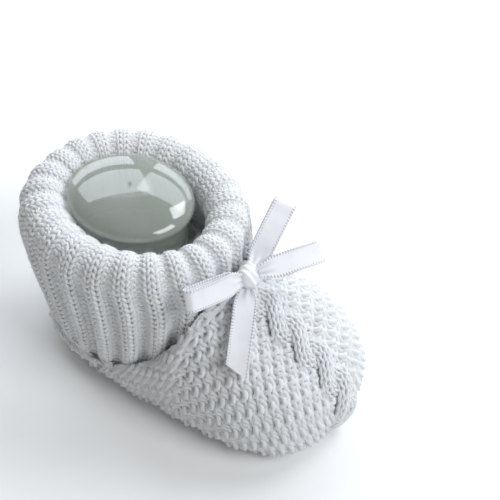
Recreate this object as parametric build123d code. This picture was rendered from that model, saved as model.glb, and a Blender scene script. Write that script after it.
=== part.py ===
from build123d import *
import os

# A knitted baby bootie with a satin bow and the clear form that holds its ankle open.
# +Z is up and the toe points to -Y. The origin is under the middle of the part, on the ground.
# Left and right are the wearer's: the left side is +X for a wearer who faces -Y.

# ---- driving dimensions, mm ----
SOLE_LENGTH = 92.0
TOE_Y = -49.0  # front of the toe
HEEL_Y = TOE_Y + SOLE_LENGTH  # back of the heel
KNIT = 2.6  # thickness of one layer of knit
SOLE_KNIT = 3.0  # thickness of the sole
RIM_HEIGHT = 49.5  # top of the rolled rim
ROLL_RADIUS = 6.5  # radius of the roll that the folded rib makes
CREST_X = 21.8  # half width of the oval that the roll follows
CREST_Y = 25.0  # half length of that oval
ANKLE_Y = 17.5  # middle of the ankle opening
FACING_BOTTOM = 22.0  # lower edge of the inner layer of rib
FACING_Y = 16.0  # middle of that lower edge
FACING_LOW_X = 20.6  # half width of the opening at that edge
FACING_LOW_Y = 24.2  # half length of the opening there
SOLE_DIP = -0.5  # the foot's rounded bottom would reach this low, and the ground cuts it flat
SEAM_WIDTH = 1.4  # width of every seam
SEAM_LIFT = 0.3  # the sole seam stays this far off the ground
CABLE_HALF_WIDTH = 4.8
CABLE_TOP_Y = 3.0  # the cable runs from the toe up to the ribs, in front of this place
CABLE_LOW = 8.0  # lowest point of the cable on the toe
HEM_RADIUS = 0.7  # radius of the row of stitches under the facing
HEM_X = 21.9  # half width of the oval that the stitches follow
HEM_Y = 24.6  # half length of that oval

RIBBON_WIDTH = 6.0
RIBBON_THICKNESS = 0.6
KNOT_CENTRE = Vector(0, -17.9, 41.1)
KNOT_SIZE = (5.6, 4.2, 4.8)  # full sizes of the knot
KNOT_TILT = 32.0  # the knot leans back by this angle
RIBBON_START = 3.4  # the loops and tails start this far from the middle of the knot

FORM_Y = 19.2  # middle of the form
FORM_HALF_WIDTH = 14.0
FORM_HALF_LENGTH = 16.2
FORM_WALL = 0.9
FORM_NECK = 45.5  # the post ends here and widens into the ledge
FORM_LEDGE = 47.2  # the ledge is at its full width from here
FORM_LEDGE_REACH = 1.3  # the ledge stands out this far from the post
FORM_SHOULDER = 48.0  # height at which the dome starts
FORM_TOP = 52.6
FORM_FOOT_SHRINK = 1.0  # the form is this much narrower at its foot
FORM_CLEARANCE = 0.3  # gap under the form

# Outer sections across the foot: place along Y, half width, bottom and top.
FOOT_SECTIONS = [
    (HEEL_Y, 9.0, 4.0, 15.0),
    (HEEL_Y - 2.5, 15.0, 1.2, 19.0),
    (HEEL_Y - 11.0, 20.8, SOLE_DIP, 24.0),
    (15.0, 24.6, SOLE_DIP, 30.0),
    (-6.0, 25.6, SOLE_DIP, 38.0),
    (-15.0, 25.6, SOLE_DIP, 38.0),
    (-24.0, 25.2, SOLE_DIP, 32.5),
    (-34.0, 23.6, SOLE_DIP, 26.0),
    (-42.0, 18.8, SOLE_DIP, 21.5),
    (TOE_Y + 2.0, 13.0, 1.2, 17.5),
    (TOE_Y, 7.5, 4.0, 13.5),
]

# Outer sections of the ankle: height, half width, front and back.
EQUATOR = RIM_HEIGHT - ROLL_RADIUS
ANKLE_SECTIONS = [
    (6.0, 23.0, -8.5, 40.5),
    (18.0, 26.0, -12.5, 43.5),
    (31.0, 27.4, -14.5, 47.0),
    (EQUATOR, CREST_X + ROLL_RADIUS, ANKLE_Y - CREST_Y - ROLL_RADIUS, ANKLE_Y + CREST_Y + ROLL_RADIUS),
]

# Side view of the line where the ribs end, from the heel to the knot: Y and height.
JOIN_LINE = [(60.0, 8.0), (30.0, 8.5), (4.0, 10.5), (-7.0, 17.5), (-13.5, 31.5), (-17.0, 60.0)]


def foot_half_section(y, half_width, bottom, top):
    """Half of a section across the foot: a flat bottom under a rounded arch."""
    height = top - bottom
    start = (0.66 * half_width, bottom)
    arch = Spline(
        start,
        (half_width, bottom + 0.34 * height),
        (0.7 * half_width, bottom + 0.81 * height),
        (0, top),
        tangents=[(1, 0.25), (-1, 0)],
    )
    outline = arch + Polyline((0, top), (0, bottom), start)
    return Plane.XZ.offset(-y) * make_face(outline)


def foot_solid(inset, floor):
    """The foot as one solid, inset all round, with its bottom raised to the floor."""
    faces = []
    last = len(FOOT_SECTIONS) - 1
    for index, (y, half_width, bottom, top) in enumerate(FOOT_SECTIONS):
        shift = 0
        if index == 0:
            shift = -inset
        if index == last:
            shift = inset
        faces.append(foot_half_section(y + shift, half_width - inset, bottom + floor, top - inset))
    half = loft(faces)
    return half + mirror(half, about=Plane.YZ)


def oval(z, half_width, front, back):
    """A horizontal oval face between two places along Y."""
    middle = (front + back) / 2
    return Pos(0, middle, z) * Ellipse(half_width, (back - front) / 2)


def ankle_solid(inset):
    """The ankle as one solid from near the ground to the widest line of the roll."""
    faces = [oval(z, w - inset, front + inset, back - inset) for z, w, front, back in ANKLE_SECTIONS]
    return loft(faces)


def side_view_solid(points, closing):
    """A solid right across the part from a spline in side view and the corners that close it."""
    curve = Spline(*points)
    outline = curve + Polyline(points[-1], *closing, points[0])
    return extrude(Plane.YZ * make_face(outline), 60, both=True)


def block(low, high):
    """A box between two corners."""
    size = [b - a for a, b in zip(low, high)]
    middle = [(a + b) / 2 for a, b in zip(low, high)]
    return Pos(*middle) * Box(*size)


def knit_shell():
    """Foot and ankle walls as one hollow body, open at the widest line of the roll."""
    outside = foot_solid(0, 0) + ankle_solid(0)
    outside = outside - block((-60, -60, -5), (60, 60, 0))
    inside = foot_solid(KNIT, SOLE_KNIT) + ankle_solid(KNIT)
    inside = inside - block((-60, -60, -5), (60, 60, SOLE_KNIT))
    return outside - inside


def rim_roll(radius):
    """A round bar that follows the crest oval at the height of the roll's middle."""
    path = Pos(0, ANKLE_Y, EQUATOR) * Wire(Ellipse(CREST_X, CREST_Y).edges())
    start = Plane(origin=path @ 0, z_dir=path % 0)
    return sweep(start * Circle(radius), path=path)


def rim_fold():
    """The folded layer of rib over the top of the roll."""
    above = block((-60, -60, EQUATOR), (60, 80, 80))
    return (rim_roll(ROLL_RADIUS) - rim_roll(ROLL_RADIUS - KNIT)) & above


def inner_facing():
    """The inner layer of rib, which runs down and out from the rim to the ankle wall."""
    top_x = CREST_X - ROLL_RADIUS
    top_y = CREST_Y - ROLL_RADIUS

    def cone(extra):
        upper = Pos(0, ANKLE_Y, EQUATOR) * Ellipse(top_x + extra, top_y + extra)
        lower = Pos(0, FACING_Y, FACING_BOTTOM) * Ellipse(FACING_LOW_X + extra, FACING_LOW_Y + extra)
        return loft([lower, upper])

    return (cone(KNIT) - cone(0)) & ankle_solid(KNIT)


def facing_hem():
    """A round cord of stitches under the facing's lower edge."""
    path = Pos(0, FACING_Y, FACING_BOTTOM - HEM_RADIUS) * Wire(Ellipse(HEM_X, HEM_Y).edges())
    start = Plane(origin=path @ 0, z_dir=path % 0)
    return sweep(start * Circle(HEM_RADIUS), path=path)


def ribbon_plane(direction, across, lift=0):
    """Local X runs along the ribbon, local Z across its width, and local Y out of its face.
    A lift moves the ribbon out of the knot's middle along local Y."""
    x_dir = Vector(*direction).normalized()
    width = Vector(*across)
    z_dir = (width - x_dir * width.dot(x_dir)).normalized()
    outward = z_dir.cross(x_dir)
    return Plane(origin=KNOT_CENTRE + outward * lift, x_dir=x_dir, z_dir=z_dir)


def ribbon_loop(plane, length, height):
    """A closed loop of ribbon that starts beside the knot."""
    end = height / 2
    near = 0.7
    start_x = RIBBON_START
    upper = ThreePointArc((start_x, near), (length * 0.5, height * 0.4), (length - end, end))
    tip = ThreePointArc((length - end, end), (length, 0), (length - end, -end))
    lower = ThreePointArc((length - end, -end), (length * 0.5, -height * 0.4), (start_x, -near))
    outer = make_face(upper + tip + lower + Line((start_x, -near), (start_x, near)))
    inner = offset(outer, amount=-RIBBON_THICKNESS)
    return extrude(plane * (outer - inner), RIBBON_WIDTH / 2, both=True)


def ribbon_tail(plane, length, bulge, slant):
    """A single length of ribbon, arched by the bulge, with its end cut on the slant."""
    half = RIBBON_THICKNESS / 2
    end = length + RIBBON_WIDTH / 2
    middle = (RIBBON_START + end) / 2
    top = ThreePointArc((RIBBON_START, half), (middle, bulge + half), (end, half))
    bottom = ThreePointArc((RIBBON_START, -half), (middle, bulge - half), (end, -half))
    ends = Line((RIBBON_START, half), (RIBBON_START, -half)) + Line((end, half), (end, -half))
    strip = extrude(plane * make_face(top + bottom + ends), RIBBON_WIDTH / 2, both=True)
    beyond = Box(30, 30, 60, align=(Align.MIN, Align.CENTER, Align.CENTER))
    return strip - plane * (Pos(length, 0, 0) * Rot(0, slant, 0) * beyond)


def bow_knot():
    """A rounded knot of ribbon."""
    width, depth, height = KNOT_SIZE
    knot = Box(width, depth, height)
    knot = fillet(knot.edges(), 1.3)
    return Pos(*KNOT_CENTRE) * Rot(-KNOT_TILT, 0, 0) * knot


def tack_stitch(knit, knot):
    """Two threads that sew the knot to the knit behind it."""
    threads = []
    for x in (-0.8, 0.8):
        thread = Cylinder(0.35, 5.6, align=(Align.CENTER, Align.CENTER, Align.MIN))
        placed = Pos(x, KNOT_CENTRE.Y, KNOT_CENTRE.Z) * Rot(-KNOT_TILT - 90, 0, 0) * thread
        threads.append(placed - knit - knot)
    return threads


def form_oval(z, shrink):
    return Pos(0, FORM_Y, z) * Ellipse(FORM_HALF_WIDTH - shrink, FORM_HALF_LENGTH - shrink)


def form_body(shrink, low):
    """The form's post, ledge and domed top, shrunk by the wall for its hollow."""
    post = loft([form_oval(low, shrink + FORM_FOOT_SHRINK), form_oval(FORM_NECK, shrink)])
    wide = shrink - FORM_LEDGE_REACH
    cone = loft([form_oval(FORM_NECK, shrink), form_oval(FORM_LEDGE, wide)])
    ledge = loft([form_oval(FORM_LEDGE, wide), form_oval(FORM_SHOULDER, wide)])
    radii = (FORM_HALF_WIDTH - wide, FORM_HALF_LENGTH - wide, FORM_TOP - FORM_SHOULDER - shrink)
    dome = scale(Sphere(1), by=radii) & block((-2, -2, 0), (2, 2, 2)).scale(40)
    return post + cone + ledge + Pos(0, FORM_Y, FORM_SHOULDER) * dome


def shaping_form():
    low = SOLE_KNIT + FORM_CLEARANCE
    return form_body(0, low) - form_body(FORM_WALL, low)


def solids_of(shape):
    """Every solid of a shape that is large enough to be a real piece of it."""
    return [s for s in shape.solids() if s.volume > 0.5]


def save(name, shapes):
    solids = []
    for shape in shapes:
        solids += solids_of(shape)
    part = solids[0] if len(solids) == 1 else Compound(children=solids)
    part.label = name
    export_step(part, "parts/" + name + ".step")


os.makedirs("parts", exist_ok=True)

# ---- the knit, cut into its zones ----
shell = knit_shell()
above_join = side_view_solid(JOIN_LINE, [(60, 60)])
seam_line = [(y - SEAM_WIDTH * 0.6, z - SEAM_WIDTH) for y, z in JOIN_LINE]
above_seam = side_view_solid(seam_line, [(60, 60 - SEAM_WIDTH)])
ankle_wall = shell & above_join
join_seam = (shell - above_join) & above_seam
foot_wall = shell - above_join - above_seam

half_seam = SEAM_WIDTH / 2
back_strip = block((-half_seam, 30, 0), (half_seam, 80, 80))
back_seam = ankle_wall & back_strip
rib_outer = ankle_wall - back_strip

sole = foot_wall & block((-60, -60, -5), (60, 60, SOLE_KNIT))
sides = foot_wall - block((-60, -60, -5), (60, 60, SOLE_KNIT))
sole_strip = block((-half_seam, -60, -5), (half_seam, 60, 20))
sole_seam = sole & block((-half_seam, -60, SEAM_LIFT), (half_seam, 60, 20))
sole_halves = sole - sole_strip
cable_strip = block((-CABLE_HALF_WIDTH, -60, CABLE_LOW), (CABLE_HALF_WIDTH, CABLE_TOP_Y, 80))
cable_panel = sides & cable_strip
side_walls = sides - cable_strip
right_half = block((-60, -60, -5), (0, 80, 80))

save("rib_outer", [rib_outer])
save("rib_rim_fold", [rim_fold()])
save("rib_inner_facing", [inner_facing()])
save("facing_hem_stitch", [facing_hem()])
save("back_seam", [back_seam])
save("join_seam", [join_seam])
save("foot_left", [side_walls - right_half])
save("foot_right", [side_walls & right_half])
save("cable_panel", [cable_panel])
save("sole_left", [sole_halves - right_half])
save("sole_right", [sole_halves & right_half])
save("sole_seam", [sole_seam])

# ---- the bow ----
knot = bow_knot()
save("bow_knot", [knot])
save("bow_tack_stitch", tack_stitch(shell, knot))
right_loop = ribbon_plane((-0.923, 0.29, 0.2), (0.4, 0.3, 0.8), 0.3)
save("bow_loop_right", [ribbon_loop(right_loop, 21.0, 3.0)])
left_loop = ribbon_plane((0.9, 0.1, 0.4), (-0.14, 0.92, 0.35))
save("bow_loop_left", [ribbon_loop(left_loop, 22.0, 5.0)])
left_tail = ribbon_plane((0.88, -0.48, -0.05), (-0.41, -0.68, -0.61), 2.2)
save("bow_tail_left", [ribbon_tail(left_tail, 20.0, 0.8, 8)])
right_tail = ribbon_plane((-0.72, -0.36, -0.38), (-0.574, 0.819, 0), -1.3)
save("bow_tail_right", [ribbon_tail(right_tail, 25.0, 1.6, 30)])

# ---- the form ----
save("shaping_form", [shaping_form()])
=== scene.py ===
"""A knitted baby bootie with a satin bow, on the clear form that holds its ankle open.

Every row of the rib, the moss stitch and the cable is knitted from loops of yarn. Shapes are worked
out in millimetres in the part's own frame (+Z up, toe to -Y) and scaled once, in make_mesh().
"""

import math

import bpy
import numpy as np
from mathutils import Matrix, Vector


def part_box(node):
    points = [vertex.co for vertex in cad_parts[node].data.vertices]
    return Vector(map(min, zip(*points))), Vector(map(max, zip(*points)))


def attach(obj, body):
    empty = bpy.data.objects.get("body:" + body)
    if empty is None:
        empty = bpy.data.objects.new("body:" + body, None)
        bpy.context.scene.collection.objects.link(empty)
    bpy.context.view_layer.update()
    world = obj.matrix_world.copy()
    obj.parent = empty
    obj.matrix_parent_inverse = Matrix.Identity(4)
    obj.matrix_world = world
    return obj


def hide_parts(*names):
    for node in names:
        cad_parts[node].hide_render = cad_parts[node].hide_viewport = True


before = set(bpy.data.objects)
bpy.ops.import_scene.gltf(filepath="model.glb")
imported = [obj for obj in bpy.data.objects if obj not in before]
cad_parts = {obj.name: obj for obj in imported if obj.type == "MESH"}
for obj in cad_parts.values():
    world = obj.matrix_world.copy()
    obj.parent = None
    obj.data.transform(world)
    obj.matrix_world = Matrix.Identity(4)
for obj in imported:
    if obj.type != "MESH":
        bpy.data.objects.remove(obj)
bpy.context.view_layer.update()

MM = 0.001
ROOT = "bootie"

# ---- driving dimensions, mm, the same as the part's own ----
RIM_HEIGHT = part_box("rib_rim_fold")[1].z / MM
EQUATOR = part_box("rib_rim_fold")[0].z / MM
ROLL_RADIUS = RIM_HEIGHT - EQUATOR
CREST_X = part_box("rib_rim_fold")[1].x / MM - ROLL_RADIUS
ANKLE_Y = (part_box("rib_rim_fold")[0].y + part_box("rib_rim_fold")[1].y) / 2 / MM
CREST_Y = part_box("rib_rim_fold")[1].y / MM - ANKLE_Y - ROLL_RADIUS
HEEL_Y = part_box("foot_left")[1].y / MM
TOE_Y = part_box("foot_left")[0].y / MM
FACING_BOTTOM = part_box("rib_inner_facing")[0].z / MM
FACING_Y = 16.0
FACING_LOW = (20.6, 24.2)

# Outer ovals of the ankle: height, half width, front and back.
ANKLE_HEIGHTS = (0.0, 6.0, 18.0, 31.0, EQUATOR)
ANKLE_HALF_WIDTHS = (23.4, 24.2, 26.2, 27.4, CREST_X + ROLL_RADIUS)
ANKLE_FRONTS = (-7.0, -8.5, -12.5, -14.5, ANKLE_Y - CREST_Y - ROLL_RADIUS)
ANKLE_BACKS = (42.4, 42.4, 43.9, 47.0, ANKLE_Y + CREST_Y + ROLL_RADIUS)

# Side view of the line where the ribs end, from the toe side to the heel: Y and height.
JOIN_Y = (-17.0, -13.5, -7.0, 4.0, 30.0, 60.0)
JOIN_Z = (60.0, 31.5, 17.5, 10.5, 8.5, 8.0)

# The foot seen from above, from the heel to the toe: half width and Y of its widest line.
OUTLINE = (
    (0.0, HEEL_Y), (8.0, HEEL_Y - 1.2), (13.8, HEEL_Y - 4.4), (20.0, HEEL_Y - 12.0), (24.3, 15.0),
    (25.6, -6.0), (25.4, -20.0), (23.9, -33.0), (19.3, -42.0), (11.4, -47.4), (0.0, TOE_Y),
)
WIDEST_Z = 9.0
# The instep in side view, from the knot to the toe: Y and height.
INSTEP = (
    (-14.0, 36.0), (-18.5, 35.2), (-24.0, 32.2), (-34.0, 25.8), (-42.0, 20.6), (-47.0, 14.8),
    (TOE_Y, WIDEST_Z),
)
OUTLINE_AT_INSTEP = -13.0  # the widest line is here beside the top of the instep
TUCK = 6.5  # how far the foot's side turns in under itself
ARCH_POWER = 2.25  # squareness of the foot's arch

# ---- the yarn ----
WALES = 96  # stitches round the ankle, in twenty-four 2x2 ribs
ROW = 1.75  # height of one row
STITCH = 3.0  # width of one stitch on the foot
YARN = 0.52  # radius of the yarn
LOOP_SWAY = 0.3  # how far a loop's legs lean, in stitches
LOOP_RISE = 0.76  # half height of a loop, in rows
LOOP_DEPTH = 0.42  # how far a loop comes forward, mm
RIB_RELIEF = 1.2  # how far ribs stand out and valleys sink
RIB_SPREAD = 0.12  # how far a rib spreads over its valleys, in stitches
INSET = 1.15  # the rib's middle surface lies this far inside its outer face
FOOT_INSET = 0.7  # and the foot's this far
SAMPLES = 10  # points along the yarn in one stitch
FACING_ROWS = 11  # rows of the rib that go back down inside
FIBRES = 8000  # loose fibres on one large knitted piece
MOSS_YARN = 0.76  # the moss stitch is looser: a fuller yarn and deeper loops
MOSS_DEPTH = 0.62
MOSS_RELIEF = 0.5  # how far its purl bumps stand out
CABLE_HALF_WIDTH = 4.8
MOSS_UNDER_CABLE = 1.7  # how far the moss stitch runs in under the cable's edge
CABLE_TWIST = 9.4  # length of one crossing of the cable
CABLE_CHAINS = 3  # chains of stitches on one ply
CABLE_YARN = 0.47
PLY_ARC = 0.92  # part of a ply's upper half that its chains cover
PLY_SWING = 2.55  # how far a ply swings from side to side
PLY_HALF_WIDTH = 2.5
PLY_RISE = 1.05  # how far it goes over and under the other ply
PLY_DEPTH = 1.6

RNG = np.random.default_rng(7)


# ---------------------------------------------------------------- small tools

def curve(x, xs, ys):
    """A smooth curve through the points (xs rising), read at x."""
    xs = np.asarray(xs, float)
    ys = np.asarray(ys, float)
    slope = np.gradient(ys, xs)
    x = np.clip(x, xs[0], xs[-1])
    i = np.clip(np.searchsorted(xs, x, side="right") - 1, 0, len(xs) - 2)
    h = xs[i + 1] - xs[i]
    t = (x - xs[i]) / h
    a = (2 * t**3 - 3 * t**2 + 1) * ys[i] + (t**3 - 2 * t**2 + t) * h * slope[i]
    b = (3 * t**2 - 2 * t**3) * ys[i + 1] + (t**3 - t**2) * h * slope[i + 1]
    return a + b


def smooth_path(points, count):
    """Points evenly spaced along a smooth curve through a few given ones."""
    p = np.asarray(points, float)
    apart = np.linalg.norm(np.diff(p, axis=0), axis=1) > 1e-4
    p = p[np.concatenate([[True], apart])]
    s = np.concatenate([[0], np.cumsum(np.linalg.norm(np.diff(p, axis=0), axis=1))])
    fine = np.linspace(0, s[-1], 600)
    q = np.stack([curve(fine, s, p[:, k]) for k in range(p.shape[1])], -1)
    length = np.concatenate([[0], np.cumsum(np.linalg.norm(np.diff(q, axis=0), axis=1))])
    even = np.linspace(0, length[-1], count)
    return np.stack([np.interp(even, length, q[:, k]) for k in range(q.shape[1])], -1)


def unit(v):
    return v / np.maximum(np.linalg.norm(v, axis=-1, keepdims=True), 1e-9)


def ease(t):
    t = np.clip(t, 0, 1)
    return t * t * (3 - 2 * t)


def wobble(x, y, seed):
    """Slow, smooth unevenness between about -1 and 1."""
    r = np.random.default_rng(seed)
    total = 0
    for _ in range(4):
        fx, fy, a, b = r.uniform(0.4, 1.6, 2).tolist() + r.uniform(0, 6.3, 2).tolist()
        total = total + np.sin(x * fx + a) * np.cos(y * fy + b)
    return total / 2


class Pile:
    """Collects vertices, faces and UVs of many parts into one mesh."""

    def __init__(self):
        self.verts = []
        self.quads = []
        self.uvs = []
        self.roots = []
        self.count = 0

    def add(self, verts, quads, uv):
        self.verts.append(verts)
        self.quads.append(quads + self.count)
        self.uvs.append(uv)
        self.count += len(verts)

    def grid(self, points, uv=None, wrap_u=False, wrap_v=False, flip=False):
        """A sheet of quads over points[nu, nv]."""
        nu, nv = points.shape[:2]
        iu = np.arange(nu if wrap_u else nu - 1)
        iv = np.arange(nv if wrap_v else nv - 1)
        a, b = np.meshgrid(iu, iv, indexing="ij")
        a2, b2 = (a + 1) % nu, (b + 1) % nv
        quads = np.stack([a * nv + b, a2 * nv + b, a2 * nv + b2, a * nv + b2], -1).reshape(-1, 4)
        if uv is None:
            gu, gv = np.meshgrid(np.linspace(0, 1, nu), np.linspace(0, 1, nv), indexing="ij")
            uv = np.stack([gu, gv], -1)
        if flip:
            quads = quads[:, ::-1]
        self.add(points.reshape(-1, 3), quads, uv.reshape(-1, 2))

    def tube(self, centre, normal, radius, sides=6, closed=False):
        """A round tube along centre, with end caps when it isn't a closed ring."""
        n = len(centre)
        if n < 3:
            return
        if closed:
            ahead = np.roll(centre, -1, 0) - np.roll(centre, 1, 0)
        else:
            ahead = np.gradient(centre, axis=0)
        ahead = unit(ahead)
        side = unit(np.cross(normal, ahead))
        up = np.cross(ahead, side)
        turn = np.linspace(0, 2 * np.pi, sides, endpoint=False)
        r = np.broadcast_to(radius, (n,))[:, None, None]
        ring = side[:, None] * np.cos(turn)[None, :, None] - up[:, None] * np.sin(turn)[None, :, None]
        points = centre[:, None] + ring * r
        step = np.linalg.norm(np.diff(centre, axis=0), axis=1)
        along = np.concatenate([[0], np.cumsum(step)])
        uv = np.stack(np.broadcast_arrays(along[:, None], (turn / (2 * np.pi))[None, :]), -1)
        start = self.count
        self.grid(points, uv, wrap_u=closed, wrap_v=True)
        if not closed and sides == 6:
            caps = np.array([[0, 1, 2, 3], [0, 3, 4, 5]])
            last = (n - 1) * sides
            self.quads.append(caps + start)
            self.quads.append(caps[:, ::-1] + start + last)

    def fuzz(self, count, length=1.5, radius=0.045):
        """Loose fibres that stand out from the yarn, each a fine three-sided hair."""
        roots = np.concatenate(self.roots)
        pick = roots[RNG.integers(0, len(roots), count)]
        start, normal = pick[:, :3], pick[:, 3:]
        lean = unit(normal * 0.9 + RNG.normal(0, 0.7, (count, 3)))
        bend = RNG.normal(0, 0.5, (count, 3))
        reach = length * RNG.uniform(0.4, 1.0, (count, 1))
        t = np.linspace(0, 1, 5)
        spine = start[:, None] + (lean * reach)[:, None] * t[None, :, None]
        spine = spine + bend[:, None] * (t**2)[None, :, None]
        spine[..., 2] = np.maximum(spine[..., 2], 0.05)
        side = unit(np.cross(lean, unit(bend + 0.01)))
        up = np.cross(lean, side)
        turn = np.array([0, 2, 4]) * np.pi / 3
        ring = side[:, None] * np.cos(turn)[None, :, None] + up[:, None] * np.sin(turn)[None, :, None]
        thin = radius * (1.15 - t)[None, :, None, None]
        points = spine[:, :, None] + ring[:, None] * thin
        hair = np.arange(count)[:, None, None] * 15
        j, c = np.meshgrid(np.arange(4), np.arange(3), indexing="ij")
        a, b = j * 3 + c, j * 3 + (c + 1) % 3
        quads = np.stack([a, b, b + 3, a + 3], -1).reshape(-1, 4)
        quads = (quads[None] + hair).reshape(-1, 4)
        self.add(points.reshape(-1, 3), quads, np.zeros((count * 15, 2)))


def make_fibres(name, pile, material, count, length=1.5):
    """The loose fibres of a knitted piece, as a piece of their own."""
    loose = Pile()
    loose.roots = pile.roots
    loose.fuzz(count, length)
    make_mesh(name, loose, material, [])


def make_mesh(name, pile, material, nodes, body=ROOT):
    """Turns a pile into a Blender object that rides on a body and stands for CAD nodes."""
    verts = np.concatenate(pile.verts) * MM
    quads = np.concatenate(pile.quads)
    uvs = np.concatenate(pile.uvs)
    mesh = bpy.data.meshes.new(name)
    mesh.vertices.add(len(verts))
    mesh.vertices.foreach_set("co", verts.astype(np.float32).ravel())
    mesh.loops.add(len(quads) * 4)
    mesh.loops.foreach_set("vertex_index", quads.astype(np.int32).ravel())
    mesh.polygons.add(len(quads))
    mesh.polygons.foreach_set("loop_start", np.arange(0, len(quads) * 4, 4, dtype=np.int32))
    mesh.polygons.foreach_set("use_smooth", np.ones(len(quads), bool))
    layer = mesh.uv_layers.new(name="UVMap")
    layer.data.foreach_set("uv", uvs[quads.ravel()].astype(np.float32).ravel())
    mesh.update(calc_edges=True)
    mesh.validate()
    mesh.materials.append(material)
    piece = bpy.data.objects.new(name, mesh)
    bpy.context.scene.collection.objects.link(piece)
    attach(piece, body)
    if nodes:
        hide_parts(*nodes)
    return piece


# ---------------------------------------------------------------- shape of the ankle

def join_height(y):
    """Height of the line where the ribs end."""
    return curve(y, JOIN_Y, JOIN_Z)


def crest(theta):
    return CREST_X * np.sin(theta), ANKLE_Y + CREST_Y * np.cos(theta)


def crest_normal(theta):
    nx, ny = CREST_Y * np.sin(theta), CREST_X * np.cos(theta)
    n = np.hypot(nx, ny)
    return nx / n, ny / n


def oval(theta, z):
    """A point on the ankle's outside at a height below the roll."""
    half = curve(z, ANKLE_HEIGHTS, ANKLE_HALF_WIDTHS)
    front = curve(z, ANKLE_HEIGHTS, ANKLE_FRONTS)
    back = curve(z, ANKLE_HEIGHTS, ANKLE_BACKS)
    return half * np.sin(theta), (front + back) / 2 + (back - front) / 2 * np.cos(theta)


def ankle_point(theta, v):
    """The folded rib: v in mm from the outer equator, up over the roll and down the facing.
    theta is 0 at the back and pi at the front."""
    theta, v = np.broadcast_arrays(theta, v)
    over = np.pi * ROLL_RADIUS
    cx, cy = crest(theta)
    nx, ny = crest_normal(theta)
    # outside, below the roll
    radius = ROLL_RADIUS - INSET
    z_out = EQUATOR + np.minimum(v, 0)
    ox, oy = oval(theta, z_out)
    ex, ey = oval(theta, EQUATOR + 0 * theta)
    fade = np.exp(np.minimum(v, 0) / 6)
    ox = ox - nx * INSET * (1 - fade) + (cx + radius * nx - ex) * fade
    oy = oy - ny * INSET * (1 - fade) + (cy + radius * ny - ey) * fade
    out = np.stack([ox, oy, z_out], -1)
    # the roll
    phi = np.clip(v, 0, over) / ROLL_RADIUS
    reach = radius * np.cos(phi)
    roll = np.stack([cx + nx * reach, cy + ny * reach, EQUATOR + radius * np.sin(phi)], -1)
    # the facing
    down = np.maximum(v - over, 0) * 0.95
    t = down / (EQUATOR - FACING_BOTTOM)
    lx, ly = (FACING_LOW[0] + INSET) * np.sin(theta), FACING_Y + (FACING_LOW[1] + INSET) * np.cos(theta)
    ix, iy = cx - nx * radius, cy - ny * radius
    face = np.stack([ix + (lx - ix) * t, iy + (ly - iy) * t, EQUATOR - down], -1)
    p = np.where((v < 0)[..., None], out, np.where((v <= over)[..., None], roll, face))
    # soft unevenness, and the front drawn in under the bow
    n = np.stack([nx, ny, 0 * nx], -1)
    soft = 0.5 * wobble(theta * 2, v * 0.12, 3)
    drawn = np.exp(-((theta - np.pi) / 0.42) ** 2) * np.exp(-((p[..., 2] - 39) / 6.5) ** 2) * (v < over / 2)
    p = p + n * (soft - 1.5 * drawn)[..., None]
    p[..., 2] += 0.45 * wobble(theta * 2, 0 * v, 5) * ease((p[..., 2] - 25) / 20)
    return p


def rib_relief(g, k):
    """The ribs stand out on the ankle and flatten where the fabric rolls over the rim."""
    front = np.exp(-((g / WALES - 0.58) / 0.1) ** 2)
    v = k * ROW
    deep = 1 - ease((v + 7) / 9) * (0.78 - 0.4 * front)
    deep = deep * (1 - 0.6 * ease((v - 8) / 8))
    p = rib_point(g, k)
    deep = deep * (0.25 + 0.75 * ease((p[..., 2] - join_height(p[..., 1])) / 7))
    return RIB_RELIEF * deep * np.cos(2 * np.pi * (g - 1) / 4)


def rib_point(g, k):
    """A point of the rib in stitches round the ankle and rows up from the equator."""
    spread = g + RIB_SPREAD * np.sin(2 * np.pi * (g - 1) / 4)
    theta = 2 * np.pi * spread / WALES
    v = k * ROW
    draw = 0.22 * np.exp(-((theta - np.pi) / 0.6) ** 2) * np.exp(-((v + 6) / 8) ** 2)
    theta = theta - (theta - np.pi) * draw
    return ankle_point(theta, v)


# ---------------------------------------------------------------- shape of the foot

def foot_lines(count):
    """Top line, widest line and inward direction of the foot's left side, heel to toe."""
    outline = smooth_path(OUTLINE, 400)
    split = int(np.argmin(np.abs(outline[:, 1] - OUTLINE_AT_INSTEP)))
    instep = smooth_path(INSTEP, 200)
    theta = np.linspace(0, np.pi, 400)
    z = np.full(400, 15.0)
    for _ in range(12):
        x, y = oval(theta, z)
        z = z * 0.5 + 0.5 * np.minimum(join_height(y), INSTEP[0][1])
    join = np.stack([x, y, z], -1)
    join[-1] = (0, INSTEP[0][0], INSTEP[0][1])
    n_join = int(round(count * split / 400))
    n_step = count - n_join
    wide = np.concatenate([
        smooth_path(outline[:split:16].tolist() + [outline[split].tolist()], n_join + 1)[:-1],
        smooth_path(outline[split::14].tolist() + [outline[-1].tolist()], n_step),
    ])
    # each line starts where the join passes over it, and they draw together again at the instep
    above = smooth_path(join[::20].tolist() + [join[-1].tolist()], n_join + 1)
    place = np.arange(n_join + 1)
    level = np.interp(np.arctan2(wide[:n_join, 0], wide[:n_join, 1] - 20),
                      np.maximum.accumulate(np.arctan2(above[:, 0], above[:, 1] - 20)), place)
    late = ease((place[:-1] / n_join - 0.35) / 0.65)
    at = np.maximum.accumulate(level * (1 - late) + place[:-1] * late)
    top = np.concatenate([
        np.stack([np.interp(at, place, above[:, c]) for c in range(3)], -1),
        np.stack([np.zeros(n_step), *smooth_path(instep, n_step).T], -1),
    ])
    wide = np.concatenate([wide, np.minimum(WIDEST_Z, top[:, 2:] - 0.3)], -1)
    run = np.gradient(wide, axis=0)
    inward = unit(np.stack([run[:, 1], -run[:, 0], np.zeros(count)], -1))
    return top, wide, inward, n_join


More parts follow.
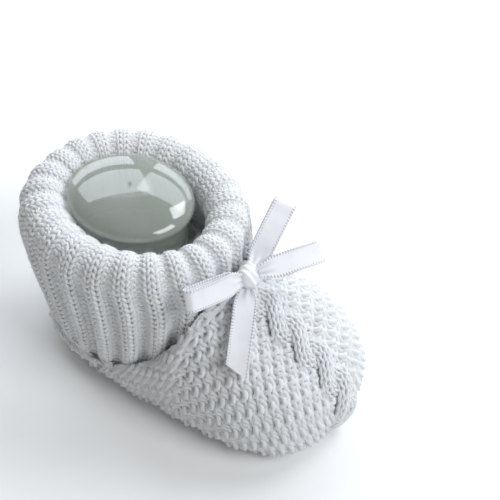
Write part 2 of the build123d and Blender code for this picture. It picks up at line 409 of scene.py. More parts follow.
FOOT_LINES = 500
FOOT_TOP, FOOT_WIDE, FOOT_INWARD, FOOT_JOIN = foot_lines(FOOT_LINES)


def foot_grid():
    """The foot's left side in rows from the top line to the edge of the sole, at an even pitch."""
    top, wide, inward = FOOT_TOP[:, None], FOOT_WIDE[:, None], FOOT_INWARD[:, None]
    a = np.linspace(0, np.pi / 2, 70)[None, :, None]
    across = np.sin(a) ** (2 / ARCH_POWER)
    upright = np.cos(a) ** (2 / ARCH_POWER)
    arch = top * (1 - across) + wide * across
    arch[..., 2] = (wide[..., 2] + (top[..., 2] - wide[..., 2]) * upright[..., 0])
    b = np.linspace(0, np.pi / 2, 40)[None, 1:, None]
    tuck = wide + inward * TUCK * (1 - np.cos(b)) + 0 * b
    tuck[..., 2] = wide[..., 2] - (wide[..., 2] - 0.9) * np.sin(b[..., 0]) ** 0.9
    side = np.concatenate([arch, tuck], 1)
    step = np.linalg.norm(np.diff(side, axis=1), axis=-1)
    length = np.concatenate([np.zeros((FOOT_LINES, 1)), np.cumsum(step, 1)], 1)
    return side, length


FOOT_SIDE, FOOT_LENGTH = foot_grid()
FOOT_REACH = FOOT_LENGTH[:, -1]
PITCH = 0.5  # spacing of the even grid down each row, mm


def even_foot():
    """The same grid at an even distance down each row."""
    deepest = int(FOOT_REACH.max() / PITCH) + 3
    w = np.arange(deepest) * PITCH
    grid = np.zeros((FOOT_LINES, deepest, 3))
    for i in range(FOOT_LINES):
        for c in range(3):
            grid[i, :, c] = np.interp(w, FOOT_LENGTH[i], FOOT_SIDE[i, :, c])
        over = np.maximum(w - FOOT_REACH[i], 0)
        grid[i, :, :] += FOOT_INWARD[i] * over[:, None]
    return grid


FOOT_EVEN = even_foot()


def raw_foot_point(g, k, hand=1):
    """A point of the foot: g stitches down from the top line, k rows along from the heel."""
    g, k = np.broadcast_arrays(np.asarray(g, float), np.asarray(k, float))
    i = np.clip(k / FOOT_ROWS * (FOOT_LINES - 1), 0, FOOT_LINES - 1.001)
    j = np.clip(g * STITCH / PITCH, 0, FOOT_EVEN.shape[1] - 1.001)
    i0, j0 = i.astype(int), j.astype(int)
    fi, fj = (i - i0)[..., None], (j - j0)[..., None]
    p = FOOT_EVEN[i0, j0] * (1 - fi) * (1 - fj) + FOOT_EVEN[i0 + 1, j0] * fi * (1 - fj)
    p = p + FOOT_EVEN[i0, j0 + 1] * (1 - fi) * fj + FOOT_EVEN[i0 + 1, j0 + 1] * fi * fj
    return p * np.array([hand, 1, 1])


def foot_point(g, k, hand=1):
    """The same point on the middle surface of the knit."""
    p = raw_foot_point(g, k, hand)
    e = 0.2
    dg = raw_foot_point(g + e, k, hand) - raw_foot_point(np.maximum(g - e, 0), k, hand)
    dk = raw_foot_point(g, k + e, hand) - raw_foot_point(g, k - e, hand)
    return p - unit(np.cross(dk, dg)) * hand * FOOT_INSET


FOOT_ROWS = 48


def foot_reach(k):
    """How many stitches a row of the foot holds."""
    i = np.clip(k / FOOT_ROWS * (FOOT_LINES - 1), 0, FOOT_LINES - 1)
    return np.interp(i, np.arange(FOOT_LINES), FOOT_REACH) / STITCH


# ---------------------------------------------------------------- knitting

def placed(point, g, k, outward):
    """Position and outward normal of a fabric at stitch g and row k."""
    e = 0.12
    p = point(g, k)
    dg = point(g + e, k) - point(g - e, k)
    dk = point(g, k + e) - point(g, k - e)
    return p, unit(np.cross(dk, dg)) * outward


def runs(mask):
    """Start and end of each unbroken stretch of True."""
    edges = np.flatnonzero(np.diff(np.concatenate([[0], mask.astype(int), [0]])))
    return list(zip(edges[::2], edges[1::2]))


def side_of_fabric(g, k, pattern):
    """1 on a knit stitch, -1 on a purl one, turning smoothly where two stitches meet."""
    b = np.round(g)
    left, right = pattern(b - 1, k), pattern(b, k)
    w = ease(0.5 + (g - b) / 0.3)
    return left * (1 - w) + right * w


def knit_row(
    pile, point, k, first, last, pattern, outward, relief=None, keep=None, closed=False,
    radius=YARN, depth=LOOP_DEPTH, sides=6, samples=SAMPLES, sway=LOOP_SWAY, rise=LOOP_RISE, purl=0.35,
):
    """One row of yarn: every loop rises through the row below it, and purl loops turn away."""
    count = int(round((last - first) * samples)) + (0 if closed else 1)
    g = first + np.arange(count) / samples
    t = 2 * np.pi * g
    where = g + sway * np.sin(2 * t)
    height = k - rise * np.cos(t)
    p, n = placed(point, where, height, outward)
    face = side_of_fabric(g, k, pattern)
    lift = -depth * face * np.where(face < 0, purl, 1.0) * np.cos(2 * t)
    if relief is not None:
        lift = lift + relief(where, k)
    uneven = 1 + 0.09 * wobble(g * 1.7, k * 2.3 + 0 * g, 11)
    centre = p + n * (lift + 0.05 * wobble(g * 2.9, k * 5.1 + 0 * g, 12))[:, None]
    centre[:, 2] = np.maximum(centre[:, 2], radius)
    shown = np.ones(count, bool) if keep is None else keep(g, k, p)
    if closed and shown.all():
        pile.tube(centre, n, radius * uneven, sides, closed=True)
        pile.roots.append(np.concatenate([centre, n], 1))
        return
    for a, b in runs(shown):
        if b - a >= samples // 2:
            pile.tube(centre[a:b], n[a:b], (radius * uneven)[a:b], sides)
            pile.roots.append(np.concatenate([centre[a:b], n[a:b]], 1))


def rib_pattern(g, k):
    return np.where(np.mod(g, 4) < 2, 1.0, -1.0)


def moss_pattern(g, k):
    return np.where(np.mod(g + round(k), 2) < 1, 1.0, -1.0)


def moss_relief(g, k):
    """Purl bumps stand out and knit stitches sink between them."""
    return -MOSS_RELIEF * np.sin(np.pi * g) * np.cos(np.pi * k)


def plain_pattern(g, k):
    return np.ones_like(g)


def above_join(g, k, p):
    under = 1.1 + 2.0 * ease((14 - p[:, 1]) / 8)
    return (p[:, 2] > join_height(p[:, 1]) - under) | (k > 0)


def knit_rib(material):
    """The rib in four pieces: the ankle's two sides, the rolled rim and the facing."""
    over = np.pi * ROLL_RADIUS / ROW
    lowest = -int((EQUATOR - 6) / ROW)
    left, right = Pile(), Pile()
    half = WALES // 2
    for k in range(lowest, 0):
        knit_row(left, rib_point, k, 0, half, rib_pattern, 1, rib_relief, above_join)
        knit_row(right, rib_point, k, half, WALES, rib_pattern, 1, rib_relief, above_join)
    make_fibres("rib_fibres_left", left, material, FIBRES)
    make_fibres("rib_fibres_right", right, material, FIBRES)
    make_mesh("rib_knit_left", left, material, ["rib_outer"])
    make_mesh("rib_knit_right", right, material, [])
    rim, facing = Pile(), Pile()
    top = int(over)
    for k in range(0, top):
        knit_row(rim, rib_point, k, 0, WALES, rib_pattern, 1, rib_relief, closed=True)
    for k in range(top, top + FACING_ROWS):
        knit_row(
            facing, rib_point, k, 0, WALES, rib_pattern, 1, rib_relief, closed=True, sides=5, samples=8
        )
    make_fibres("rim_fibres", rim, material, FIBRES, 1.4)
    make_fibres("facing_fibres", facing, material, 2500, 1.2)
    make_mesh("rim_knit", rim, material, ["rib_rim_fold"])
    make_mesh("facing_knit", facing, material, ["rib_inner_facing"])


def knit_foot(material):
    """The moss stitch on both sides of the foot."""
    for name, hand in (("left", 1), ("right", -1)):
        pile = Pile()

        def point(g, k, hand=hand):
            return foot_point(g, k, hand)

        def keep(g, k, p):
            front = k > FOOT_ROWS * FOOT_JOIN / FOOT_LINES - 1
            clear_of_cable = (np.abs(p[:, 0]) > CABLE_HALF_WIDTH - MOSS_UNDER_CABLE) | (not front)
            return clear_of_cable & (g < foot_reach(k) - 0.2)

        for k in range(1, FOOT_ROWS):
            last = math.ceil(foot_reach(k))
            knit_row(
                pile, point, k, 0, last, moss_pattern, hand, moss_relief, keep,
                radius=MOSS_YARN, depth=MOSS_DEPTH, sway=0.27, rise=0.8, purl=1.0,
            )
        make_fibres("moss_fibres_" + name, pile, material, FIBRES)
        make_mesh("moss_knit_" + name, pile, material, ["foot_" + name])


# ---------------------------------------------------------------- the cable

def cable_line(count):
    """The middle of the cable, from under the knot over the toe to the sole."""
    tip = FOOT_SIDE[-1, ::4]
    points = FOOT_TOP[FOOT_JOIN::12].tolist() + tip[tip[:, 2] < WIDEST_Z - 1].tolist()
    path = smooth_path([(0, p[1], p[2]) for p in points], count)
    ahead = unit(np.gradient(path, axis=0))
    normal = np.stack([np.zeros(count), ahead[:, 2], -ahead[:, 1]], -1)
    length = np.linalg.norm(np.diff(path, axis=0), axis=1).sum()
    return path, normal, length


CABLE_PATH, CABLE_NORMAL, CABLE_LENGTH = cable_line(400)


def ply_point(g, k, phase):
    """The surface of one ply of the cable: g across its chains, k rows along it.
    It lies flatter where it turns down at the toe."""
    g, k = np.broadcast_arrays(np.asarray(g, float), np.asarray(k, float))
    s = np.clip(k * ROW, 0, CABLE_LENGTH)
    i = s / CABLE_LENGTH * (len(CABLE_PATH) - 1)
    index = np.arange(len(CABLE_PATH))
    c = np.stack([np.interp(i, index, CABLE_PATH[:, q]) for q in range(3)], -1)
    n = unit(np.stack([np.interp(i, index, CABLE_NORMAL[:, q]) for q in range(3)], -1))
    phi = np.pi * s / CABLE_TWIST + phase
    chi = np.pi * ((1 - PLY_ARC) / 2 + PLY_ARC * g / CABLE_CHAINS)
    x = PLY_SWING * np.cos(phi) - PLY_HALF_WIDTH * np.cos(chi)
    lift = -0.35 + PLY_RISE * np.sin(phi) + PLY_DEPTH * np.sin(chi)
    toe = ease((s - CABLE_LENGTH + 14) / 12)
    lift = lift * (1 - 0.45 * toe) - 0.7 * toe
    p = c + n * lift[..., None] + np.stack([x, 0 * x, 0 * x], -1)
    p[..., 2] = np.maximum(p[..., 2], 0.75)
    return p


def knit_cable(material):
    """Two plies of chain stitches that cross over each other all the way to the toe."""
    pile = Pile()
    rows = int(CABLE_LENGTH / ROW)
    whole_turn = np.arange(24) / 24 * CABLE_CHAINS * 2 / PLY_ARC
    for phase in (0.4, 0.4 + np.pi):

        def point(g, k, phase=phase):
            return ply_point(g, k, phase)

        for k in range(1, rows):
            knit_row(
                pile, point, k, 0, CABLE_CHAINS, plain_pattern, 1, radius=CABLE_YARN, depth=0.3, sway=0.24
            )
        # the yarn at the back of each ply fills it out
        kk, gg = np.meshgrid(np.linspace(1, rows - 1, 200), whole_turn, indexing="ij")
        around = point(gg, kk)
        core = around.mean(axis=1, keepdims=True)
        pile.grid(core + (around - core) * 0.86, wrap_v=True)
    # the fabric that the plies lie on
    across = np.linspace(-1, 1, 15)
    bed = CABLE_PATH[:, None] + CABLE_NORMAL[:, None] * (-0.5 - 0.6 * across**2)[None, :, None]
    bed = bed + across[None, :, None] * np.array([5.6, 0, 0])
    bed[..., 2] = np.maximum(bed[..., 2], 1.2)
    shell(pile, bed, np.broadcast_to(CABLE_NORMAL[:, None], bed.shape), 0.8)
    make_fibres("cable_fibres", pile, material, 3500)
    return make_mesh("cable_knit", pile, material, ["cable_panel"])


# ---------------------------------------------------------------- fabric behind the yarn

def shell(pile, outer, normal, thickness, wrap_u=False):
    """A closed sheet of even thickness inside the outer points."""
    inner = outer - normal * thickness
    facing = np.cross(outer[1:, :-1] - outer[:-1, :-1], outer[:-1, 1:] - outer[:-1, :-1])
    flip = bool(np.sum(facing * normal[:-1, :-1]) < 0)
    section = np.concatenate([outer, inner[:, ::-1]], 1)
    pile.grid(section, wrap_u=wrap_u, wrap_v=True, flip=flip)
    if not wrap_u:
        for i in (0, -1):
            pile.grid(np.stack([inner[i], outer[i]], 0), flip=flip == (i == 0))


def ground_ankle(material):
    """The web of fabric that closes the gaps between the loops of the rib."""
    g = np.arange(0, WALES, 1 / 3)
    lowest = (6.0 - EQUATOR) / ROW
    k = np.linspace(lowest, (np.pi * ROLL_RADIUS + 21) / ROW, 120)
    gg, kk = np.meshgrid(g, k, indexing="ij")
    low = (join_height(rib_point(gg, kk * 0 + lowest)[..., 1]) - EQUATOR) / ROW
    for _ in range(4):
        y = rib_point(gg, low)[..., 1]
        low = (join_height(y) - EQUATOR) / ROW
    kk = np.where(kk < 0, np.maximum(kk, np.minimum(low - 1.7, -2) + (kk - lowest) * 0.02), kk)
    p, n = placed(rib_point, gg, kk, 1)
    outer = p + n * (rib_relief(gg, kk) - 0.55)[..., None]
    pile = Pile()
    shell(pile, outer, n, 0.9, wrap_u=True)
    return make_mesh("rib_ground", pile, material, [])


def ground_foot(material):
    """The fabric behind the moss stitch and under the cable, and on under the sole's edge."""
    for name, hand in (("left", 1), ("right", -1)):
        k = np.linspace(0, FOOT_ROWS, 180)
        part = np.linspace(0, 1, 70)
        kk, tt = np.meshgrid(k, part, indexing="ij")
        gg = tt * (foot_reach(kk) + 0.8)

        def point(g, k, hand=hand):
            return foot_point(g, k, hand)

        p, n = placed(point, gg, np.clip(kk, 0.13, FOOT_ROWS - 0.2), hand)
        under_cable = ease(1 - (np.abs(p[..., 0]) - 3.2) / 1.8) * (p[..., 1] < -14)
        outer = p - n * (0.7 + 0.1 * under_cable)[..., None]
        outer[..., 2] = np.maximum(outer[..., 2], 0.25)
        pile = Pile()
        shell(pile, outer, n, 0.9)
        make_mesh("foot_ground_" + name, pile, material, [])


def knit_sole(material):
    """The two halves of the sole, with the small bumps of the moss stitch on the underside."""
    count = 160
    for name, hand in (("left", 1), ("right", -1)):
        edge = FOOT_SIDE[:, -1]
        k = np.linspace(0, FOOT_LINES - 1, count)
        edge = np.stack([np.interp(k, np.arange(FOOT_LINES), edge[:, c]) for c in range(3)], -1)
        middle = np.clip(edge[:, 1], TOE_Y + 7, HEEL_Y - 7)
        spine = np.stack([np.full(count, 0.7), middle, np.full(count, 0.9)], -1)
        t = np.linspace(0, 1, 60)[None, :, None]
        bottom = edge[:, None] * (1 - t) + spine[:, None] * t
        bump = 0.26 * np.sin(bottom[..., 0] * np.pi / STITCH) * np.sin(bottom[..., 1] * np.pi / ROW)
        bottom[..., 2] = 0.42 + bump
        bottom[:, 0, 2] = 0.9
        bottom[..., 0] *= hand
        up = np.zeros_like(bottom)
        up[..., 2] = -1
        pile = Pile()
        shell(pile, bottom, up, 2.2)
        make_mesh("sole_knit_" + name, pile, material, ["sole_" + name])


# ---------------------------------------------------------------- seams

def twisted_cord(pile, path, normal, spread, pitch, radius, closed=False):
    """Two yarns twisted round each other along a path."""
    ahead = unit(np.gradient(path, axis=0))
    side = unit(np.cross(normal, ahead))
    s = np.concatenate([[0], np.cumsum(np.linalg.norm(np.diff(path, axis=0), axis=1))])
    for start in (0, np.pi):
        turn = 2 * np.pi * s / pitch + start
        offset = side * np.cos(turn)[:, None] + normal * np.sin(turn)[:, None]
        pile.tube(path + offset * spread, normal, radius, 6, closed)


def make_seams(material):
    """The pick-up line under the ribs, the back seam, the hem inside and the sole seam."""
    pile = Pile()
    line = FOOT_TOP[:FOOT_JOIN]
    both = np.concatenate([line[::-1], line[1:] * np.array([-1, 1, 1])])
    path = smooth_path(both[::24].tolist() + [both[-1].tolist()], 420)
    out = unit(path * np.array([1, 1, 0]) - np.array([0, 12.0, 0]) + np.array([0, 0, 14.0]))
    twisted_cord(pile, path - out * 0.35, out, 0.4, 3.4, 0.58)
    make_mesh("join_seam_yarn", pile, material, ["join_seam"])

    pile = Pile()
    k = np.linspace(-17.5, 0, 160)
    p, n = placed(rib_point, np.full(160, -0.02), k, 1)
    twisted_cord(pile, p + n * 0.15, n, 0.36, 3.0, 0.4)
    make_mesh("back_seam_yarn", pile, material, ["back_seam"])

    pile = Pile()
    theta = np.linspace(0, 2 * np.pi, 360, endpoint=False)
    ring = np.stack([
        (FACING_LOW[0] + 0.2) * np.sin(theta),
        FACING_Y + (FACING_LOW[1] + 0.2) * np.cos(theta),
        FACING_BOTTOM + 0.2 + 0.5 * np.sin(theta * 36),
    ], -1)
    ring_out = np.stack([np.sin(theta), np.cos(theta), 0 * theta], -1)
    pile.tube(ring, ring_out, 0.5, 6, closed=True)
    make_mesh("facing_hem_yarn", pile, material, ["facing_hem_stitch"])

    pile = Pile()
    y = np.linspace(TOE_Y + 5, HEEL_Y - 5, 300)
    path = np.stack([0 * y, y, np.full(300, 1.3)], -1)
    down = np.tile([0.0, 0.0, -1.0], (300, 1))
    twisted_cord(pile, path, down, 0.4, 3.0, 0.42)
    make_mesh("sole_seam_yarn", pile, material, ["sole_seam"])


# ---------------------------------------------------------------- the bow

KNOT = np.array([0.0, -17.9, 41.1])
KNOT_HALF = (3.1, 3.0, 2.4)  # half its width, length and height
RIBBON_WIDTH = 6.0
RIBBON_THICKNESS = 0.22
BEAD = 0.3  # radius of one picot bead
BEAD_PITCH = 0.8


def ribbon_axes(direction, across):
    """Along the ribbon, out of its face and across its width."""
    x = unit(np.array(direction, float))
    z = np.array(across, float)
    z = unit(z - x * (z @ x))
    return x, np.cross(z, x), z


def ball(centre, radius, pile):
    """One small bead."""
    u = np.linspace(0, np.pi, 6)[:, None]
    v = np.linspace(0, 2 * np.pi, 8, endpoint=False)[None]
    around = np.stack([np.sin(u) * np.cos(v), np.sin(u) * np.sin(v), np.cos(u) + 0 * v], -1)
    pile.grid(centre + around * radius, wrap_v=True)


def ribbon(name, path, axes, origin, width, pleat, nodes, material, body, cut=0.0):
    """A length of ribbon along a path in its own side view, with beaded edges.
    width and pleat are given along the path; pleats gather the ribbon where it enters the knot."""
    x, y, z = axes
    n = len(path)
    across = np.linspace(-1, 1, 25)
    centre = origin + path[:, :1] * x + path[:, 1:2] * y
    ahead = unit(np.gradient(centre, axis=0))
    normal = unit(np.cross(np.broadcast_to(z, ahead.shape), ahead))
    fold = pleat[:, None] * np.cos(across[None] * np.pi * 2.5)
    curl = 0.16 * (across[None] ** 2 - 0.4) * (width[:, None] / RIBBON_WIDTH)
    mid = centre[:, None] + z * (across[None, :, None] * width[:, None, None] / 2)
    mid = mid + normal[:, None] * (fold + curl)[..., None]
    along = np.linspace(0, 1, n)
    mid = mid + ahead[:, None] * (cut * across[None] * ease((along[:, None] - 0.5) / 0.5))[..., None]
    half = normal[:, None] * RIBBON_THICKNESS / 2
    loop = np.concatenate([mid - half, (mid + half)[:, ::-1]], 1)
    s = np.concatenate([[0], np.cumsum(np.linalg.norm(np.diff(centre, axis=0), axis=1))])
    v = np.concatenate([across, across[::-1]]) * RIBBON_WIDTH / 2
    uv = np.stack(np.broadcast_arrays(s[:, None], v[None]), -1)
    pile = Pile()
    pile.grid(loop, uv, wrap_v=True)
    for end in (0, n - 1):
        strip = loop[end]
        pile.grid(np.stack([strip[:25], strip[:24:-1]], 0), flip=bool(end))
    count = int(s[-1] / BEAD_PITCH)
    for side in (1, -2):
        line = mid[:, side]
        for c in np.linspace(0.3, s[-1] - 0.2, count):
            bead = np.array([np.interp(c, s, line[:, q]) for q in range(3)])
            ball(bead, BEAD, pile)
    return make_mesh(name, pile, material, nodes, body)


def loop_path(length, height, sag):
    """Side view of a loop: out along the top, round the end and back underneath."""
    points = [
        (2.3, 0.25), (4.6, 0.5), (length * 0.45, height * 0.42 + sag), (length * 0.8, height * 0.5 + sag),
        (length - 0.5, height * 0.32), (length, 0.0), (length - 0.5, -height * 0.34),
        (length * 0.8, -height * 0.46 + sag), (length * 0.45, -height * 0.36 + sag),
        (4.6, -0.4), (2.3, -0.2),
    ]
    return smooth_path(points, 120)


def gather(path, widest=RIBBON_WIDTH):
    """Width and pleat depth along a path, from how far each point is from the knot."""
    out = np.abs(path[:, 0])
    t = ease((out - 1.0) / 6.5)
    return widest * (0.46 + 0.54 * t), 0.36 * (1 - t)


def make_bow(satin, thread):
    """Two loops and two tails, each on its own hinge at the knot, and the thread that holds it."""

    def piece(name, path, axes, origin, cut=0.0):
        ribbon(name + "_satin", path, axes, origin, *gather(path), [name], satin, name, cut)

    right = ribbon_axes((-0.923, 0.29, 0.2), (0.4, 0.3, 0.8))
    piece("bow_loop_right", loop_path(20.8, 2.8, 0.0), right, KNOT + right[1] * 0.3)
    left = ribbon_axes((0.9, 0.1, 0.4), (-0.14, 0.92, 0.35))
    piece("bow_loop_left", loop_path(21.8, 4.8, 0.3), left, KNOT)
    tail = ribbon_axes((0.88, -0.48, -0.05), (-0.41, -0.68, -0.61))
    path = smooth_path([(2.1, -0.2), (4.0, 0.3), (10.0, 0.8), (16.0, 0.5), (20.0, -0.1)], 70)
    piece("bow_tail_left", path, tail, KNOT + tail[1] * 2.2, 0.4)
    tail = ribbon_axes((-0.72, -0.36, -0.38), (-0.574, 0.819, 0))
    path = smooth_path([(2.2, 0.2), (4.4, 0.4), (11.0, 1.5), (18.0, 1.2), (25.0, 0.1)], 80)
    piece("bow_tail_right", path, tail, KNOT - tail[1] * 1.3, -1.7)
    make_knot(satin)
    pile = Pile()
    for side in (-1, 1):
        start = KNOT + np.array([side * 0.8, 1.0, -1.4])
        end = KNOT + np.array([side * 0.8, 4.6, -4.0])
        path = smooth_path([start, (start + end) / 2 + np.array([side * 0.3, 0, 0]), end], 20)
        pile.tube(path, np.tile([1.0, 0, 0], (20, 1)), 0.22)
    make_mesh("bow_tack_thread", pile, thread, ["bow_tack_stitch"])


def make_knot(material):
    """A short wrap of gathered ribbon: a rounded, squarish lump with shallow pleats round it, widest at its
    middle.
    """
    tilt = math.radians(32)
    out = unit(np.array([0, -math.sin(tilt) - 0.35, math.cos(tilt)]))
    cross = np.array([1.0, 0.0, 0.0])
    along = unit(np.cross(out, cross))
    u = np.linspace(0, np.pi, 40)[:, None]
    v = np.linspace(0, 2 * np.pi, 72, endpoint=False)[None]
    power = 0.75

    def soft(c):
        return np.sign(c) * np.abs(c) ** power

    a = soft(np.cos(u)) + 0 * v
    b = soft(np.sin(u)) * soft(np.cos(v))
    c = soft(np.sin(u)) * soft(np.sin(v))
    pleats = 1 + 0.075 * np.cos(a * 11 + 0.8 * np.sin(v * 2)) + 0.04 * np.sin(v * 3 + a * 2)
    p = KNOT + a[..., None] * cross * KNOT_HALF[0]
    p = p + (b * pleats)[..., None] * along * KNOT_HALF[1] + (c * pleats)[..., None] * out * KNOT_HALF[2]
    pile = Pile()
    pile.grid(p, wrap_v=True)
    return make_mesh("bow_knot_satin", pile, material, ["bow_knot"])


# ---------------------------------------------------------------- the clear form

FORM_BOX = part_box("shaping_form")
FORM_X = FORM_BOX[1].x / MM
FORM_Y = (FORM_BOX[1].y - FORM_BOX[0].y) / 2 / MM
FORM_MIDDLE = (FORM_BOX[0].y + FORM_BOX[1].y) / 2 / MM
FORM_LOW = FORM_BOX[0].z / MM
FORM_HIGH = FORM_BOX[1].z / MM
FORM_SHOULDER = 48.0
FORM_SKIN = 0.55  # thickness of the clear plastic


def make_form(material):
    """A thin moulded shell: an oval post, a ledge at its shoulder and a smooth dome."""
    rise = FORM_HIGH - FORM_SHOULDER
    # height, how far in from the widest oval, and how much of that oval is left
    profile = [
        (FORM_LOW, 2.3, 1.0), (14.0, 2.05, 1.0), (28.0, 1.7, 1.0), (40.0, 1.42, 1.0), (45.3, 1.3, 1.0),
        (45.9, 1.1, 1.0), (46.6, 0.5, 1.0), (47.1, 0.1, 1.0), (47.5, 0.0, 1.0), (47.9, 0.06, 1.0),
    ]
    for a in np.linspace(0.03, np.pi / 2 - 0.015, 38):
        profile.append((FORM_SHOULDER + rise * math.sin(a), 0.1, math.cos(a)))
    theta = np.linspace(0, 2 * np.pi, 160, endpoint=False)

    def skin(wall):
        rings = []
        for z, inset, left in profile:
            rx, ry = (FORM_X - inset - wall) * left, (FORM_Y - inset - wall) * left
            low = z if z == FORM_LOW else z - wall * (1 - left) - wall * 0.2
            y = FORM_MIDDLE + ry * np.cos(theta)
            rings.append(np.stack([rx * np.sin(theta), y, np.full(len(theta), low)], -1))
        return np.stack(rings, 1)

    pile = Pile()
    section = np.concatenate([skin(0.0), skin(FORM_SKIN)[:, ::-1]], 1)
    pile.grid(section, wrap_u=True, wrap_v=True, flip=True)
    return make_mesh("clear_form", pile, material, ["shaping_form"], "shaping_form")


# ---------------------------------------------------------------- materials

def new_material(name, colour, roughness):
    """A material with its principled shader, and helpers that add a linked node or a sum."""
    m = bpy.data.materials.new(name)
    m.use_nodes = True
    tree = m.node_tree
    shader = tree.nodes["Principled BSDF"]
    shader.inputs["Base Color"].default_value = (*colour, 1)
    shader.inputs["Roughness"].default_value = roughness

    def node(kind, settings=None, **links):
        made = tree.nodes.new(kind)
        for key, value in (settings or {}).items():
            if isinstance(key, int) or key in made.inputs:
                made.inputs[key].default_value = value
            else:
                setattr(made, key, value)
        for key, source in links.items():
            tree.links.new(source, made.inputs[key.replace("_", " ")])
        return made

    def calc(operation, *terms):
        made = tree.nodes.new("ShaderNodeMath")
        made.operation = operation
        for i, term in enumerate(terms):
            if isinstance(term, float):
                made.inputs[i].default_value = term
            else:
                tree.links.new(term, made.inputs[i])
        return made.outputs[0]

    return m, tree, shader, node, calc


def yarn_material(name, light, bead_gap_shade):
    """Soft spun yarn: twisted plies along each strand, loose fibres and slight unevenness."""
    m, tree, shader, node, calc = new_material(name, light, 0.9)
    uv = node("ShaderNodeUVMap", {"uv_map": "UVMap"})
    split = node("ShaderNodeSeparateXYZ", Vector=uv.outputs["UV"])
    along = calc("MULTIPLY", split.outputs["X"], 3.6)
    around = calc("MULTIPLY", split.outputs["Y"], 12.566)
    plies = calc("SINE", calc("ADD", along, around))
    where = node("ShaderNodeTexCoord")
    fine = {"Scale": 2600.0, "Detail": 4.0, "Roughness": 0.65}
    fibre = node("ShaderNodeTexNoise", fine, Vector=where.outputs["Object"])
    mottle = node("ShaderNodeTexNoise", {"Scale": 160.0, "Detail": 3.0}, Vector=where.outputs["Object"])
    height = calc("ADD", calc("MULTIPLY", plies, 0.28), fibre.outputs["Fac"])
    bump = node("ShaderNodeBump", {"Strength": 0.45, "Distance": 0.0002}, Height=height)
    tree.links.new(bump.outputs["Normal"], shader.inputs["Normal"])
    ramp = node("ShaderNodeValToRGB", Fac=mottle.outputs["Fac"])
    ramp.color_ramp.elements[0].position = 0.3
    ramp.color_ramp.elements[0].color = (*bead_gap_shade, 1)
    ramp.color_ramp.elements[1].position = 0.7
    ramp.color_ramp.elements[1].color = (*light, 1)
    tree.links.new(ramp.outputs["Color"], shader.inputs["Base Color"])
    shader.inputs["Sheen Weight"].default_value = 0.35
    shader.inputs["Sheen Roughness"].default_value = 0.4
    shader.inputs["Specular IOR Level"].default_value = 0.2
    shader.inputs["Subsurface Weight"].default_value = 0.25
    shader.inputs["Subsurface Radius"].default_value = (0.0016, 0.0016, 0.0016)
    return m


def satin_material():
    """White satin: a fine warp along the ribbon and a soft directional gloss, with painted shade in the
    hollows of its creases and in the gaps between its edge beads.
    """
    m, tree, shader, node, calc = new_material("satin_ribbon", (0.9, 0.9, 0.94), 0.34)
    uv = node("ShaderNodeUVMap", {"uv_map": "UVMap"})
    split = node("ShaderNodeSeparateXYZ", Vector=uv.outputs["UV"])
    along, across = split.outputs["X"], split.outputs["Y"]
    warp = calc("SINE", calc("MULTIPLY", across, 34.0))
    where = node("ShaderNodeTexCoord")
    creases = node("ShaderNodeTexNoise", {"Scale": 260.0, "Detail": 2.0}, Vector=where.outputs["Object"])
    height = calc("ADD", calc("MULTIPLY", warp, 0.12), creases.outputs["Fac"])
    bump = node("ShaderNodeBump", {"Strength": 0.3, "Distance": 0.0004}, Height=height)
    tree.links.new(bump.outputs["Normal"], shader.inputs["Normal"])
    # painted shade: where the crease noise is low, which the bump makes hollows, the satin is tinted a
    # darker lilac-grey
    crease_shade_ramp = node("ShaderNodeValToRGB", Fac=creases.outputs["Fac"])
    crease_shade_ramp.color_ramp.elements[0].color = (0.84, 0.835, 0.89, 1)
    crease_shade_ramp.color_ramp.elements[1].color = (0.95, 0.95, 0.96, 1)
    # painted shade: a dotted grey band along both edges, darkest in the gaps between the picot beads
    band = node("ShaderNodeMapRange", {"From Min": 2.2, "From Max": 2.45}, Value=calc("ABSOLUTE", across))
    dots = calc("SINE", calc("MULTIPLY", along, 2 * math.pi / BEAD_PITCH))
    gaps = node("ShaderNodeMapRange", {"From Min": -0.2, "From Max": 0.6}, Value=dots)
    bead_gap_shade = calc("MULTIPLY", band.outputs[0], gaps.outputs[0])
    edge = node("ShaderNodeMix", {"data_type": "RGBA"})
    tree.links.new(bead_gap_shade, edge.inputs[0])
    tree.links.new(crease_shade_ramp.outputs["Color"], edge.inputs[6])
    # the grey of the painted shade between the edge beads
    edge.inputs[7].default_value = (0.5, 0.5, 0.54, 1)
    tree.links.new(edge.outputs[2], shader.inputs["Base Color"])
    shader.inputs["Anisotropic"].default_value = 0.55
    shader.inputs["Sheen Weight"].default_value = 0.3
    shader.inputs["Specular IOR Level"].default_value = 0.6
    return m


def clear_material():
    """Thin clear plastic with a faint green-grey cast and tiny waves from moulding."""
    m, tree, shader, node, _ = new_material("clear_plastic", (0.7, 0.76, 0.69), 0.04)
    where = node("ShaderNodeTexCoord")
    waves = node("ShaderNodeTexNoise", {"Scale": 60.0, "Detail": 1.5}, Vector=where.outputs["Object"])
    bump = node("ShaderNodeBump", {"Strength": 0.16, "Distance": 0.0015}, Height=waves.outputs["Fac"])
    tree.links.new(bump.outputs["Normal"], shader.inputs["Normal"])
    cast = node("ShaderNodeValToRGB", Fac=waves.outputs["Fac"])
    cast.color_ramp.elements[0].color = (0.5, 0.55, 0.48, 1)
    cast.color_ramp.elements[1].color = (0.74, 0.79, 0.72, 1)
    tree.links.new(cast.outputs["Color"], shader.inputs["Base Color"])
    shader.inputs["Alpha"].default_value = 0.3
    shader.inputs["IOR"].default_value = 1.9
    shader.inputs["Coat Weight"].default_value = 1.0
    shader.inputs["Coat IOR"].default_value = 1.8
    shader.inputs["Coat Roughness"].default_value = 0.02
    return m


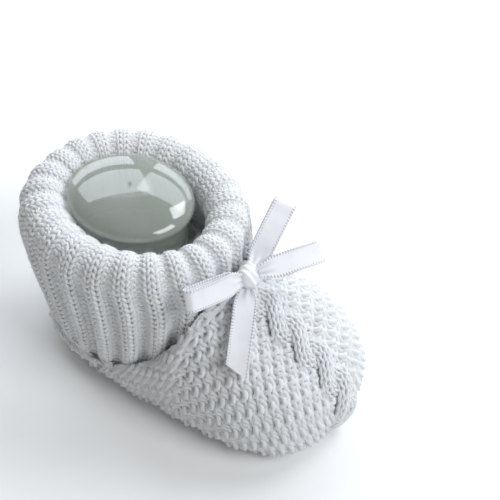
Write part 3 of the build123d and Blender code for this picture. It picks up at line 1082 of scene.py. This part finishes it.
def thread_material():
    """White sewing thread with a fine twist."""
    m, tree, shader, node, _ = new_material("sewing_thread", (0.9, 0.9, 0.9), 0.6)
    where = node("ShaderNodeTexCoord")
    twist = node("ShaderNodeTexWave", {"Scale": 900.0}, Vector=where.outputs["Object"])
    bump = node("ShaderNodeBump", {"Strength": 0.4, "Distance": 0.0001}, Height=twist.outputs["Fac"])
    tree.links.new(bump.outputs["Normal"], shader.inputs["Normal"])
    return m


# ---------------------------------------------------------------- studio

TARGET = Vector((0.0, 0.0, 0.022))
CAMERA_AZIMUTH = -55.0
CAMERA_ELEVATION = 49.0
CAMERA_DISTANCE = 0.38


def direction(azimuth, elevation):
    a, e = math.radians(azimuth), math.radians(elevation)
    return Vector((math.sin(a) * math.cos(e), -math.cos(a) * math.cos(e), math.sin(e)))


def aim(thing, at):
    thing.rotation_euler = (at - thing.location).to_track_quat("-Z", "Y").to_euler()


def area_light(name, azimuth, elevation, distance, size, power, colour=(1, 1, 1)):
    data = bpy.data.lights.new(name, "AREA")
    data.shape = "RECTANGLE"
    data.size, data.size_y = size
    data.energy = power
    data.color = colour
    light = bpy.data.objects.new(name, data)
    bpy.context.scene.collection.objects.link(light)
    light.location = TARGET + direction(azimuth, elevation) * distance
    aim(light, TARGET)
    return light


def make_studio():
    """A pale floor, soft lights and the camera at the photograph's viewing angle."""
    scene = bpy.context.scene
    bpy.ops.mesh.primitive_plane_add(size=6)
    floor = bpy.context.object
    floor.name = "floor"
    floor.data.materials.append(new_material("floor", (0.98, 0.98, 0.98), 0.7)[0])
    world = scene.world or bpy.data.worlds.new("studio")
    scene.world = world
    world.use_nodes = True
    background = world.node_tree.nodes["Background"]
    background.inputs["Color"].default_value = (1.0, 0.985, 0.955, 1)
    background.inputs["Strength"].default_value = 0.25
    # a window of four panes behind the bootie: the dome mirrors it, bars and all
    for height, elevation in (("low", 17), ("high", 43)):
        for side, azimuth in (("left", 98), ("right", 146)):
            name = "window_" + height + "_" + side
            area_light(name, azimuth, elevation, 0.75, (0.5, 0.26), 1.15, (0.86, 0.93, 1.0))
    area_light("key", 70, 48, 0.9, (0.35, 0.35), 2.5, (0.9, 0.95, 1.0))
    area_light("front", 2, 46, 0.9, (0.5, 0.4), 4.0, (0.92, 0.96, 1.0))
    data = bpy.data.cameras.new("camera")
    data.lens = 102
    data.sensor_width = 36
    camera = bpy.data.objects.new("camera", data)
    scene.collection.objects.link(camera)
    camera.location = TARGET + direction(CAMERA_AZIMUTH, CAMERA_ELEVATION) * CAMERA_DISTANCE
    aim(camera, TARGET)
    data.shift_x = 0.118
    data.shift_y = 0.089
    scene.camera = camera
    scene.view_settings.view_transform = "Standard"


# ---------------------------------------------------------------- build

make_studio()
white = (0.84, 0.85, 0.865)
shade = (0.79, 0.795, 0.8)
rib_yarn = yarn_material("rib_yarn", white, shade)
moss_yarn = yarn_material("moss_yarn", white, shade)
cable_yarn = yarn_material("cable_yarn", white, shade)
seam_yarn = yarn_material("seam_yarn", white, shade)
satin = satin_material()

knit_rib(rib_yarn)
knit_foot(moss_yarn)
knit_cable(cable_yarn)
ground_ankle(rib_yarn)
ground_foot(moss_yarn)
knit_sole(moss_yarn)
make_seams(seam_yarn)
make_bow(satin, thread_material())
make_form(clear_material())
